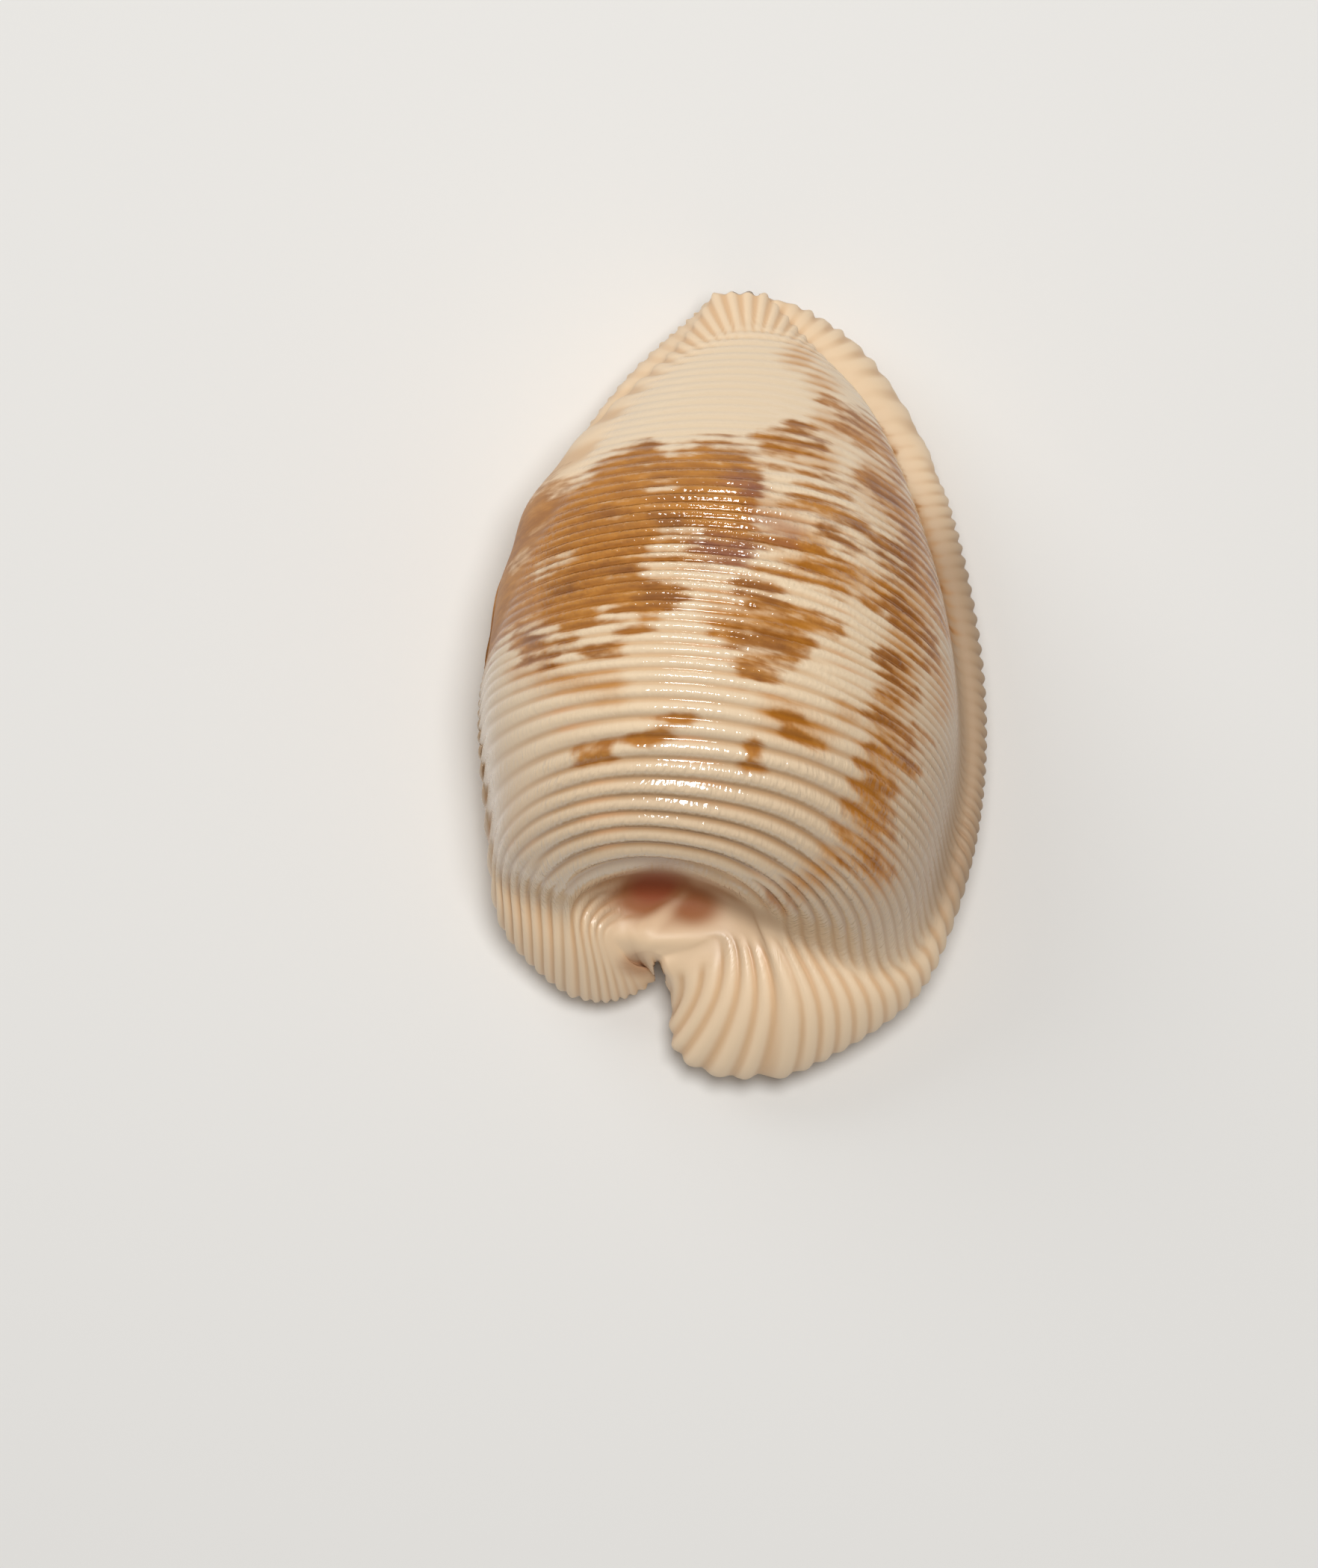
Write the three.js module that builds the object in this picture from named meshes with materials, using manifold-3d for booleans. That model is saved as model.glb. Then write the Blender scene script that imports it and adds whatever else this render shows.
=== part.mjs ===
// Cape cowrie shell, millimetres, +Z up.
// The back of the shell is up and it rests on its base, with the slit of the opening below.
// +Y points to the front tip, -X is the spire side and +X the outer lip side.

import * as THREE from 'three';
import { mergeVertices } from 'three/addons/utils/BufferGeometryUtils.js';
import Module from 'manifold-3d';

// Driving dimensions
const wallTaper = 0.9; // fullness of the dome's section: 1 is an ellipse, less is squarer
const crownLean = 0.4; // how far the highest line leans from the ridge tops to the dome's middle
const shoulderBulge = 0.2; // height of the margin callus between its edge and its groove, by its width
const lobeBow = 0.12; // how far the ridges on the right margin bow outwards, by its width
const edgeTuck = 0.07; // how far under the edge the base begins, as a share of the base's width
const baseHollow = 0.12; // how far the base's middle would dip below the ground before it is worn flat
const endBulge = 0.2; // how far an end stands out in the middle, where it is drawn together
const liftRounds = 4; // how often the control points are moved out towards their own points
const lipDepth = 2.0; // from the lip's crest to the web that the slit cuts through
const ridgeRelief = { back: 0.15, front: 0.06, margin: 0.2, base: 0.07, lip: 0.2 }; // crest to valley
const cavity = { centre: [-0.6, 1.4, 7.5], radii: [7.6, 8.3, 5.9], tilt: -14 };
const slit = { top: 4.2, bottom: -1, gapShare: 0.8, past: 1.6 };
const ground = { width: 40, height: 30 };

// Guide ridges, from the notch at the back end to the tip in front. Each follows one real ridge from
// the left margin over the back to the right margin, and opening is where it meets the slit on the
// underside: x, y, half of the gap, and the height of the lips. number counts the ridges. arch is 1
// where the ridge crosses the dome and 0 where it crosses the floor of the pit.
const guideRidges = [
  {
    number: 0,
    arch: 0,
    leftEdge: [-2.8, -11.15, 2.6],
    leftGroove: [-3.89, -10.57, 4.2],
    crown: [-3.18, -10.17, 5.2],
    rightGroove: [-2.47, -10.85, 5.0],
    rightEdge: [-2.2, -12.1, 3.0],
    opening: [-2.72, -11.1, 0.24, 1.2],
  },
  {
    number: 2.5,
    arch: 0,
    leftEdge: [-3.72, -11.82, 2.4],
    leftGroove: [-4.46, -9.83, 5.2],
    crown: [-3.15, -9.35, 5.5],
    rightGroove: [-0.4, -9.95, 5.3],
    rightEdge: [-1.9, -14.1, 3.0],
    opening: [-2.75, -10.4, 0.35, 0.9],
  },
  {
    number: 4.5,
    arch: 0,
    leftEdge: [-5.0, -12.12, 2.4],
    leftGroove: [-5.37, -9.2, 5.8],
    crown: [-3.05, -7.95, 4.9],
    rightGroove: [0.55, -9.65, 5.5],
    rightEdge: [0.0, -15.0, 3.0],
    opening: [-2.5, -9.6, 0.45, 0.6],
  },
  {
    number: 5.7,
    arch: 0.5,
    leftEdge: [-5.85, -11.95, 2.4],
    leftGroove: [-6.0, -8.86, 6.2],
    crown: [-3.12, -7.2, 7.6],
    rightGroove: [1.1, -9.5, 5.8],
    rightEdge: [1.25, -14.95, 3.0],
    opening: [-2.1, -8.9, 0.5, 0.45],
  },
  {
    number: 6.7,
    arch: 1,
    leftEdge: [-6.6, -11.62, 2.4],
    leftGroove: [-6.65, -8.58, 6.3],
    crown: [-3.2, -6.53, 12.0],
    rightGroove: [1.7, -9.5, 6.1],
    rightEdge: [2.6, -14.8, 3.0],
    opening: [-1.6, -8.1, 0.5, 0.3],
  },
  {
    number: 11,
    arch: 1,
    leftEdge: [-8.49, -9.72, 2.8],
    leftGroove: [-8.6, -7.5, 6.0],
    crown: [-3.5, -4.57, 14.4],
    rightGroove: [5.57, -10.6, 5.6],
    rightEdge: [6.4, -12.6, 3.2],
    opening: [-0.6, -6.6, 0.55, 0.15],
  },
  {
    number: 14.5,
    arch: 1,
    leftEdge: [-9.18, -7.07, 3.4],
    leftGroove: [-9.06, -5.65, 5.6],
    crown: [-3.24, -2.41, 15.6],
    rightGroove: [7.56, -8.5, 5.4],
    rightEdge: [8.03, -10.1, 3.3],
    opening: [0.2, -5.0, 0.55, 0.1],
  },
  {
    number: 19,
    arch: 1,
    leftEdge: [-9.55, -2.67, 4.4],
    leftGroove: [-9.5, -1.95, 5.6],
    crown: [-3.1, 0.23, 15.95],
    rightGroove: [8.3, -5.8, 5.2],
    rightEdge: [8.98, -7.36, 3.4],
    opening: [0.9, -2.9, 0.55, 0.1],
  },
  {
    number: 26,
    arch: 1,
    leftEdge: [-9.38, 0.45, 4.6],
    leftGroove: [-9.3, 1.0, 5.8],
    crown: [-2.53, 3.58, 15.1],
    rightGroove: [8.7, -2.8, 5.2],
    rightEdge: [9.58, -3.8, 3.5],
    opening: [1.5, -0.2, 0.55, 0.1],
  },
  {
    number: 33,
    arch: 1,
    leftEdge: [-8.83, 3.44, 4.6],
    leftGroove: [-8.7, 3.85, 5.7],
    crown: [-1.53, 6.4, 13.4],
    rightGroove: [8.4, 1.16, 5.2],
    rightEdge: [9.56, 0.45, 3.6],
    opening: [1.8, 2.8, 0.6, 0.1],
  },
  {
    number: 40,
    arch: 1,
    leftEdge: [-7.3, 6.87, 4.4],
    leftGroove: [-7.3, 7.2, 5.4],
    crown: [-0.97, 9.06, 11.0],
    rightGroove: [7.4, 5.14, 5.2],
    rightEdge: [8.74, 5.17, 3.6],
    opening: [1.8, 6.1, 0.65, 0.15],
  },
  {
    number: 48,
    arch: 1,
    leftEdge: [-4.66, 10.84, 4.0],
    leftGroove: [-3.9, 11.0, 5.2],
    crown: [0.17, 11.82, 8.0],
    rightGroove: [5.7, 9.26, 5.2],
    rightEdge: [7.28, 9.27, 3.6],
    opening: [1.4, 9.6, 0.7, 0.4],
  },
  {
    number: 53,
    arch: 1,
    leftEdge: [-2.64, 13.0, 3.6],
    leftGroove: [-2.1, 12.8, 5.0],
    crown: [0.6, 13.24, 6.3],
    rightGroove: [3.72, 11.8, 5.4],
    rightEdge: [5.12, 12.62, 3.6],
    opening: [0.9, 12.3, 0.7, 0.9],
  },
  {
    number: 60,
    arch: 1,
    leftEdge: [-1.05, 14.45, 3.0],
    leftGroove: [-0.7, 14.88, 3.9],
    crown: [0.17, 14.92, 4.3],
    rightGroove: [1.5, 14.7, 4.0],
    rightEdge: [2.85, 14.36, 3.0],
    opening: [0.6, 14.5, 0.6, 1.5],
  },
];

// Rails: the places round a section, the same on every ridge
const arcAngles = [18, 36, 54, 72];
const rightGrooveRail = 12;
const rightEdgeRail = 14;
const rightLipRail = 18;
const webRail = 21;
const leftLipRail = 24;
const railCount = 28;

// Small helpers on numbers and points
const mix = (a, b, t) => a + (b - a) * t;
const mixPoint = (a, b, t) => a.map((value, axis) => mix(value, b[axis], t));
const degrees = (angle) => (angle * Math.PI) / 180;

// The highest place of a ridge, which leans from the top of its plan curve to the dome's middle
function topX(guide) {
  const middle = (guide.leftGroove[0] + guide.rightGroove[0]) / 2;
  return mix(guide.crown[0], middle, crownLean);
}

// Seen from above a ridge is a quarter of an ellipse on each side of its top
function planY(guide, x) {
  const [crownX, crownY] = guide.crown;
  const foot = x < crownX ? guide.leftGroove : guide.rightGroove;
  const across = Math.min(1, Math.abs((x - crownX) / (foot[0] - crownX)));
  return mix(crownY, foot[1], 1 - Math.sqrt(1 - across * across));
}

// Points between a groove and the crown: an arch on the dome, a shallow bow on the floor of the pit
function domeSide(guide, foot) {
  return arcAngles.map((angle) => {
    const flatOut = 1 - angle / 90;
    const out = mix(flatOut, Math.cos(degrees(angle)) ** wallTaper, guide.arch);
    const rise = mix(1 - flatOut ** 2, Math.sin(degrees(angle)) ** wallTaper, guide.arch);
    const x = mix(topX(guide), foot[0], out);
    return [x, planY(guide, x), mix(foot[2], guide.crown[2], rise)];
  });
}

// The margin's top between the edge and the groove, higher and more bowed where the callus is wide
function shoulder(edge, groove, bow) {
  const [x, y, z] = mixPoint(edge, groove, 0.5);
  const width = Math.hypot(edge[0] - groove[0], edge[1] - groove[1]);
  return [x + bow * width, y, z + shoulderBulge * width];
}

// The base from an edge to its lip, and down the lip's face into the slit
function underside(edge, guide, lipSide) {
  const [slitX, slitY, halfGap, lipHeight] = guide.opening;
  const [normalX, normalY] = guide.across;
  const along = (share, z) => [
    slitX + lipSide * normalX * halfGap * share,
    slitY + lipSide * normalY * halfGap * share,
    z,
  ];
  const lip = along(1.25, lipHeight);
  const base = (share, z) => [mix(edge[0], lip[0], share), mix(edge[1], lip[1], share), z];
  return [
    base(edgeTuck, mix(lipHeight, edge[2], 0.45)),
    base(edgeTuck * 4, lipHeight + 0.35),
    base(0.65, lipHeight - baseHollow),
    lip,
    along(1, lipHeight + lipDepth * 0.45),
    along(0.85, lipHeight + lipDepth * 0.9),
  ];
}

// The direction across the slit at a guide ridge
function acrossSlit(index) {
  const before = guideRidges[Math.max(0, index - 1)].opening;
  const after = guideRidges[Math.min(guideRidges.length - 1, index + 1)].opening;
  const [alongX, alongY] = [after[0] - before[0], after[1] - before[1]];
  const length = Math.hypot(alongX, alongY);
  return [alongY / length, -alongX / length];
}

// One closed section of the shell, along a guide ridge
function section(guide) {
  const top = topX(guide);
  const [slitX, slitY, , lipHeight] = guide.opening;
  return [
    guide.leftEdge,
    shoulder(guide.leftEdge, guide.leftGroove, 0),
    guide.leftGroove,
    ...domeSide(guide, guide.leftGroove),
    [top, planY(guide, top), guide.crown[2]],
    ...domeSide(guide, guide.rightGroove).reverse(),
    guide.rightGroove,
    shoulder(guide.rightEdge, guide.rightGroove, lobeBow),
    guide.rightEdge,
    ...underside(guide.rightEdge, guide, 1),
    [slitX, slitY, lipHeight + lipDepth],
    ...underside(guide.leftEdge, guide, -1).reverse(),
  ];
}

// A smooth curve leaves its control points inside its bends. Each control point is moved out by what
// the curve misses its own point by, a few times over, and the curve then passes through the points.
function liftedCurve(points, isClosed) {
  const last = points.length - 1;
  let controls = points;
  for (let round = 0; round < liftRounds; round += 1) {
    controls = controls.map((control, index) => {
      if (!isClosed && (index === 0 || index === last)) return control;
      const before = controls[index === 0 ? last : index - 1];
      const after = controls[index === last ? 0 : index + 1];
      return control.map((value, axis) => {
        const onCurve = (before[axis] + 4 * value + after[axis]) / 6;
        return value + points[index][axis] - onCurve;
      });
    });
  }
  return controls;
}

function controlCage() {
  guideRidges.forEach((guide, index) => {
    guide.across = acrossSlit(index);
  });
  const rings = guideRidges.map((guide) => liftedCurve(section(guide), true));
  const rails = rings[0].map((_, rail) => liftedCurve(rings.map((ring) => ring[rail]), false));
  const cage = rings.map((_, row) => rails.map((rail) => rail[row]));
  const beyond = (end, next) => end.map((point, rail) => mixPoint(next[rail], point, 2));
  return [beyond(cage[0], cage[1]), ...cage, beyond(cage.at(-1), cage.at(-2))];
}

// Weights of the four control points of a cubic B-spline, and of its slope
function curveWeights(t) {
  return [
    (1 - t) ** 3 / 6,
    (3 * t ** 3 - 6 * t ** 2 + 4) / 6,
    (1 + 3 * t + 3 * t ** 2 - 3 * t ** 3) / 6,
    t ** 3 / 6,
  ];
}

function slopeWeights(t) {
  return [-((1 - t) ** 2) / 2, (3 * t ** 2 - 4 * t) / 2, (1 + 2 * t - 3 * t ** 2) / 2, t ** 2 / 2];
}

const cage = controlCage();

// The smooth surface at a place along the guide ridges and a rail, with its outward normal
function surfaceAt(place, rail) {
  const row = Math.min(Math.floor(place), guideRidges.length - 2);
  const column = Math.floor(rail);
  const [rowWeights, rowSlopes] = [curveWeights(place - row), slopeWeights(place - row)];
  const [railWeights, railSlopes] = [curveWeights(rail - column), slopeWeights(rail - column)];
  const point = new THREE.Vector3();
  const alongRows = new THREE.Vector3();
  const alongRails = new THREE.Vector3();
  for (let i = 0; i < 4; i += 1) {
    for (let j = 0; j < 4; j += 1) {
      const control = new THREE.Vector3(...cage[row + i][(column + j - 1 + railCount) % railCount]);
      point.addScaledVector(control, rowWeights[i] * railWeights[j]);
      alongRows.addScaledVector(control, rowSlopes[i] * railWeights[j]);
      alongRails.addScaledVector(control, rowWeights[i] * railSlopes[j]);
    }
  }
  return { point, normal: alongRails.cross(alongRows).normalize() };
}

// Where a ridge of a given number lies among the guide ridges
function placeOfRidge(number) {
  const next = Math.max(1, guideRidges.findIndex((guide) => guide.number >= number));
  const [low, high] = [guideRidges[next - 1].number, guideRidges[next].number];
  return next - 1 + (number - low) / (high - low);
}

// How deep the ridges are cut at a place: they fade in the pit, on its callus and near the tip
function reliefAt(place, rail) {
  const onBack = rail >= 3 && rail <= 11;
  const frontness = THREE.MathUtils.smoothstep(place, 8.5, 11);
  if (onBack) {
    const clearOfPit = THREE.MathUtils.smoothstep(place, 3.4, 4.4);
    return mix(ridgeRelief.back, ridgeRelief.front, frontness) * clearOfPit;
  }
  if (rail === 2 || rail === rightGrooveRail) return ridgeRelief.back * 0.8;
  if (rail < 2 || (rail > rightGrooveRail && rail <= rightEdgeRail)) return ridgeRelief.margin;
  if (rail === rightLipRail || rail === leftLipRail) return ridgeRelief.lip;
  if (rail > rightLipRail && rail < leftLipRail) return rail === webRail ? 0 : ridgeRelief.lip;
  return ridgeRelief.base;
}

// A row that draws an end's section together and closes it, standing out a little
function endRow(end, inner) {
  return end.map((point, rail) => {
    const mirror = (railCount - rail) % railCount;
    const outward = point.clone().sub(inner[rail]).add(end[mirror]).sub(inner[mirror]);
    return point.clone().lerp(end[mirror], 0.5).addScaledVector(outward.normalize(), endBulge);
  });
}

// The rows of the surface: a crest and a valley for each ridge, and a last row at each end that
// draws the section together and closes it.
function shellRows() {
  const rows = [];
  const ridgeTotal = guideRidges.at(-1).number;
  for (let half = 0; half <= ridgeTotal * 2; half += 1) {
    const place = placeOfRidge(half / 2);
    const isCrest = half % 2 === 0 ? 1 : -1;
    const ring = [];
    for (let rail = 0; rail < railCount; rail += 1) {
      const { point, normal } = surfaceAt(place, rail);
      ring.push(point.addScaledVector(normal, (isCrest * reliefAt(place, rail)) / 2));
    }
    rows.push(ring);
  }
  return [endRow(rows[0], rows[1]), ...rows, endRow(rows.at(-1), rows.at(-2))];
}

// A closed mesh from rings of points. Rings that fold onto themselves close the ends.
function meshFromRings(rings) {
  const ringLength = rings[0].length;
  const positions = rings.flat().flatMap((point) => point.toArray());
  const faces = [];
  for (let row = 0; row < rings.length - 1; row += 1) {
    for (let rail = 0; rail < ringLength; rail += 1) {
      const next = (rail + 1) % ringLength;
      const [a, b] = [row * ringLength + rail, row * ringLength + next];
      const [c, d] = [a + ringLength, b + ringLength];
      faces.push(a, b, d, a, d, c);
    }
  }
  const geometry = new THREE.BufferGeometry();
  geometry.setAttribute('position', new THREE.Float32BufferAttribute(positions, 3));
  geometry.setIndex(faces);
  return geometry;
}

const wasm = await Module();
wasm.setup();

// A solid from a closed mesh: vertices merged, and triangles with no area left out
function solidFrom(geometry) {
  geometry.deleteAttribute('normal');
  geometry.deleteAttribute('uv');
  const merged = mergeVertices(geometry, 1e-4);
  const index = merged.index.array;
  const kept = [];
  for (let i = 0; i < index.length; i += 3) {
    const [a, b, c] = [index[i], index[i + 1], index[i + 2]];
    if (a !== b && b !== c && a !== c) kept.push(a, b, c);
  }
  return new wasm.Manifold(
    new wasm.Mesh({
      numProp: 3,
      vertProperties: new Float32Array(merged.attributes.position.array),
      triVerts: new Uint32Array(kept),
    }),
  );
}

function geometryFrom(solid) {
  const mesh = solid.getMesh();
  const geometry = new THREE.BufferGeometry();
  geometry.setAttribute('position', new THREE.Float32BufferAttribute(mesh.vertProperties, 3));
  geometry.setIndex(new THREE.Uint32BufferAttribute(mesh.triVerts, 1));
  geometry.computeVertexNormals();
  return geometry;
}

// The room inside, an egg shape well within the wall, tilted down in front
function cavitySolid() {
  const room = new THREE.SphereGeometry(1, 22, 12);
  room.rotateX(Math.PI / 2);
  room.scale(...cavity.radii);
  room.rotateX(degrees(cavity.tilt));
  room.translate(...cavity.centre);
  return solidFrom(room);
}

// The slit: an upright blade along the opening, running out past both ends
function slitSolid() {
  const middles = guideRidges.map((guide) => new THREE.Vector2(guide.opening[0], guide.opening[1]));
  const sides = guideRidges.map((guide, index) => {
    const [x, y] = acrossSlit(index);
    return new THREE.Vector2(x, y).multiplyScalar(guide.opening[2] * slit.gapShare);
  });
  const runOut = (end, next) => end.clone().sub(next).setLength(slit.past).add(end);
  middles.unshift(runOut(middles[0], middles[1]));
  middles.push(runOut(middles.at(-1), middles.at(-2)));
  sides.unshift(sides[0]);
  sides.push(sides.at(-1));
  const right = middles.map((middle, index) => middle.clone().add(sides[index]));
  const left = middles.map((middle, index) => middle.clone().sub(sides[index])).reverse();
  const blade = new THREE.ExtrudeGeometry(new THREE.Shape([...right, ...left]), {
    depth: slit.top - slit.bottom,
    bevelEnabled: false,
  });
  blade.translate(0, 0, slit.bottom);
  return solidFrom(blade);
}

function aboveGround() {
  const block = new THREE.BoxGeometry(ground.width, ground.width, ground.height);
  block.translate(0, 0, ground.height / 2);
  return solidFrom(block);
}

const outside = solidFrom(meshFromRings(shellRows()));
const hollowed = outside.subtract(cavitySolid()).subtract(slitSolid()).intersect(aboveGround());

const shellMaterial = new THREE.MeshStandardMaterial({ color: '#e8cfb2', roughness: 0.25, metalness: 0 });
const shell = new THREE.Mesh(geometryFrom(hollowed), shellMaterial);
shell.name = 'shell';

const cowrie = new THREE.Group();
cowrie.add(shell);

export default cowrie;
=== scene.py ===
import math

import bmesh
import bpy
import numpy as np
from mathutils import Matrix, Vector


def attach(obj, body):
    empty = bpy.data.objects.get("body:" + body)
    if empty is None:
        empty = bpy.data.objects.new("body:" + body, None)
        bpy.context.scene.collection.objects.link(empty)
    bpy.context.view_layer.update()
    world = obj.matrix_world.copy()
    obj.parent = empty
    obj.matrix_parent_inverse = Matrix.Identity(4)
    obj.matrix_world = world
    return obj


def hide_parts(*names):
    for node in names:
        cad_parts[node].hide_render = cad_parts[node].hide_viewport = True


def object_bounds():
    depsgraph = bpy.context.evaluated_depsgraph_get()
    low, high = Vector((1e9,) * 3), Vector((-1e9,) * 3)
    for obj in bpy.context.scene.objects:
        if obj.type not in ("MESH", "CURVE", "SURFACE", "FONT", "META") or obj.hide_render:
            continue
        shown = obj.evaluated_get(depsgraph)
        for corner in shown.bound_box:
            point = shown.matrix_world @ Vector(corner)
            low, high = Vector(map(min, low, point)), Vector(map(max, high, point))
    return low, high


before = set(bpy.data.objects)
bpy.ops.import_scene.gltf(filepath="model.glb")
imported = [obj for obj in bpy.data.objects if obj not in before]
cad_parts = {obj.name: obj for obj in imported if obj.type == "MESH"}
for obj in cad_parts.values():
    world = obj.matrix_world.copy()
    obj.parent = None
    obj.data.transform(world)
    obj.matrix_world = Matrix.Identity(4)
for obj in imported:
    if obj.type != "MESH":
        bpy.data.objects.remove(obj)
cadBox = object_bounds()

# Cape cowrie, seen on its back. Shapes are worked out in millimetres and turned to metres at the end.
# +Y is the front tip, -X the spire side and +X the outer lip side. It lies on its base.
mm = 0.001
outerLip = 1
spireSide = -1

shell = {
    "wallTaper": 0.9,        # fullness of the dome's section, 1 is an ellipse
    "crownLean": 0.4,        # the highest line leans this far to the dome's middle
    "shoulderBulge": 0.2,    # height of the margin callus, by its width
    "lobeBow": 0.12,         # how far ridges on the right margin bow out, by its width
    "edgeTuck": 0.07,        # where the base begins under the edge
    "baseHollow": 0.12,      # dip of the base below the ground, worn flat there
    "lipDepth": 2.0,         # from the lip's crest to the web in the slit
    "liftRounds": 4,
    "rowsPerRidge": 8,
    "colsDome": 6,           # columns between two rails, on the dome and under it
    "colsMargin": 5,
    "endRows": 4,            # rows that close an end, rounded by this much, mm
    "endBulge": 0.2,
    "drawnFrom": 0.6,        # the outer part is drawn in from this share of the solid's size
    "clearance": 0.004,      # and ends this far inside it, mm
}

# Guide ridges from the notch to the front tip: the ridge count on the left, the extra ridges on the
# right, the count right of the middle, then points along one real ridge, and where it meets the
# slit: x, y, half gap, lip height
guideRidges = [
    dict(count=0, extra=0, middle=0, arch=0,
         leftEdge=(-2.8, -11.15, 2.6), leftGroove=(-3.89, -10.57, 4.2), crown=(-3.18, -10.17, 5.2),
         rightGroove=(-2.47, -10.85, 5.0), rightEdge=(-2.2, -12.1, 3.0), opening=(-2.72, -11.1, 0.24, 1.2)),
    dict(count=2.5, extra=0, middle=2.5, arch=0,
         leftEdge=(-3.72, -11.82, 2.4), leftGroove=(-4.46, -9.83, 5.2), crown=(-3.15, -9.35, 5.5),
         rightGroove=(-0.4, -9.95, 5.3), rightEdge=(-1.9, -14.1, 3.0), opening=(-2.75, -10.4, 0.35, 0.9)),
    dict(count=4.5, extra=0, middle=4.5, arch=0,
         leftEdge=(-5.0, -12.12, 2.4), leftGroove=(-5.37, -9.2, 5.8), crown=(-3.05, -7.95, 4.9),
         rightGroove=(0.55, -9.65, 5.5), rightEdge=(0.0, -15.0, 3.0), opening=(-2.5, -9.6, 0.45, 0.6)),
    dict(count=5.7, extra=0, middle=5.7, arch=0.5,
         leftEdge=(-5.85, -11.95, 2.4), leftGroove=(-6.0, -8.86, 6.2), crown=(-3.12, -7.2, 7.6),
         rightGroove=(1.1, -9.5, 5.8), rightEdge=(1.25, -14.95, 3.0), opening=(-2.1, -8.9, 0.5, 0.45)),
    dict(count=6.7, extra=0, middle=6.7,
         leftEdge=(-6.6, -11.62, 2.4), leftGroove=(-6.65, -8.58, 6.3), crown=(-3.2, -6.53, 12.0),
         rightGroove=(1.7, -9.5, 6.1), rightEdge=(2.6, -14.8, 3.0), opening=(-1.6, -8.1, 0.5, 0.3)),
    dict(count=10, extra=2.5, middle=10,
         leftEdge=(-8.49, -9.72, 2.8), leftGroove=(-8.6, -7.5, 6.0), crown=(-3.5, -4.57, 14.4),
         rightGroove=(5.57, -10.6, 5.6), rightEdge=(6.4, -12.6, 3.2), opening=(-0.6, -6.6, 0.55, 0.15)),
    dict(count=13, extra=4, middle=13,
         leftEdge=(-9.18, -7.07, 3.4), leftGroove=(-9.06, -5.65, 5.6), crown=(-3.24, -2.41, 15.6),
         rightGroove=(7.56, -8.5, 5.4), rightEdge=(8.03, -10.1, 3.3), opening=(0.2, -5.0, 0.55, 0.1)),
    dict(count=17, extra=4, middle=17,
         leftEdge=(-9.55, -2.67, 4.4), leftGroove=(-9.5, -1.95, 5.6), crown=(-3.1, 0.23, 15.95),
         rightGroove=(8.3, -5.8, 5.2), rightEdge=(8.98, -7.36, 3.4), opening=(0.9, -2.9, 0.55, 0.1)),
    dict(count=25, extra=4, middle=23,
         leftEdge=(-9.38, 0.45, 4.6), leftGroove=(-9.3, 1.0, 5.8), crown=(-2.53, 3.58, 15.1),
         rightGroove=(8.7, -2.8, 5.2), rightEdge=(9.58, -3.8, 3.5), opening=(1.5, -0.2, 0.55, 0.1)),
    dict(count=33.5, extra=4, middle=28.5,
         leftEdge=(-8.83, 3.44, 4.6), leftGroove=(-8.7, 3.85, 5.7), crown=(-1.53, 6.4, 13.4),
         rightGroove=(8.4, 1.16, 5.2), rightEdge=(9.56, 0.45, 3.6), opening=(1.8, 2.8, 0.6, 0.1)),
    dict(count=42, extra=4, middle=35,
         leftEdge=(-7.3, 6.87, 4.4), leftGroove=(-7.3, 7.2, 5.4), crown=(-0.97, 9.06, 11.0),
         rightGroove=(7.4, 5.14, 5.2), rightEdge=(8.74, 5.17, 3.6), opening=(1.8, 6.1, 0.65, 0.15)),
    dict(count=51, extra=4, middle=43,
         leftEdge=(-4.66, 10.84, 4.0), leftGroove=(-3.9, 11.0, 5.2), crown=(0.17, 11.82, 8.0),
         rightGroove=(5.7, 9.26, 5.2), rightEdge=(7.28, 9.27, 3.6), opening=(1.4, 9.6, 0.7, 0.4)),
    dict(count=56, extra=4.5, middle=48,
         leftEdge=(-2.64, 13.0, 3.6), leftGroove=(-2.1, 12.8, 5.0), crown=(0.6, 13.24, 6.3),
         rightGroove=(3.72, 11.8, 5.4), rightEdge=(5.12, 12.62, 3.6), opening=(0.9, 12.3, 0.7, 0.9)),
    dict(count=61, extra=5.5, middle=53,
         leftEdge=(-1.05, 14.45, 3.0), leftGroove=(-0.7, 14.88, 3.9), crown=(0.17, 14.92, 4.3),
         rightGroove=(1.5, 14.7, 4.0), rightEdge=(2.85, 14.36, 3.0), opening=(0.6, 14.5, 0.6, 1.5)),
]

# Rails round a section, the same on every guide. The edges are rails 0 and 14, the right lip is 18.
arcAngles = np.radians([18, 36, 54, 72])
rail = dict(leftGroove=2, crown=7, rightGroove=12, web=21, leftLip=24, total=28)


def mix(a, b, t):
    return a + (b - a) * t


def smooth(low, high, value):
    t = np.clip((value - low) / (high - low), 0, 1)
    return t * t * (3 - 2 * t)


# Rises from 0 to 1 between the first two edges, and falls back between the last two
def band(value, edges):
    rise, risen, fall, fallen = edges
    return smooth(rise, risen, value) * (1 - smooth(fall, fallen, value))


# How far inside a stroke a place is, mm. A stroke is x, y to x, y and half its width.
def insideStroke(x, y, stroke):
    x0, y0, x1, y1, half = stroke
    dx, dy = x1 - x0, y1 - y0
    share = np.clip(((x - x0) * dx + (y - y0) * dy) / max(dx * dx + dy * dy, 1e-6), 0, 1)
    return half - np.hypot(x - x0 - share * dx, y - y0 - share * dy)


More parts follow.
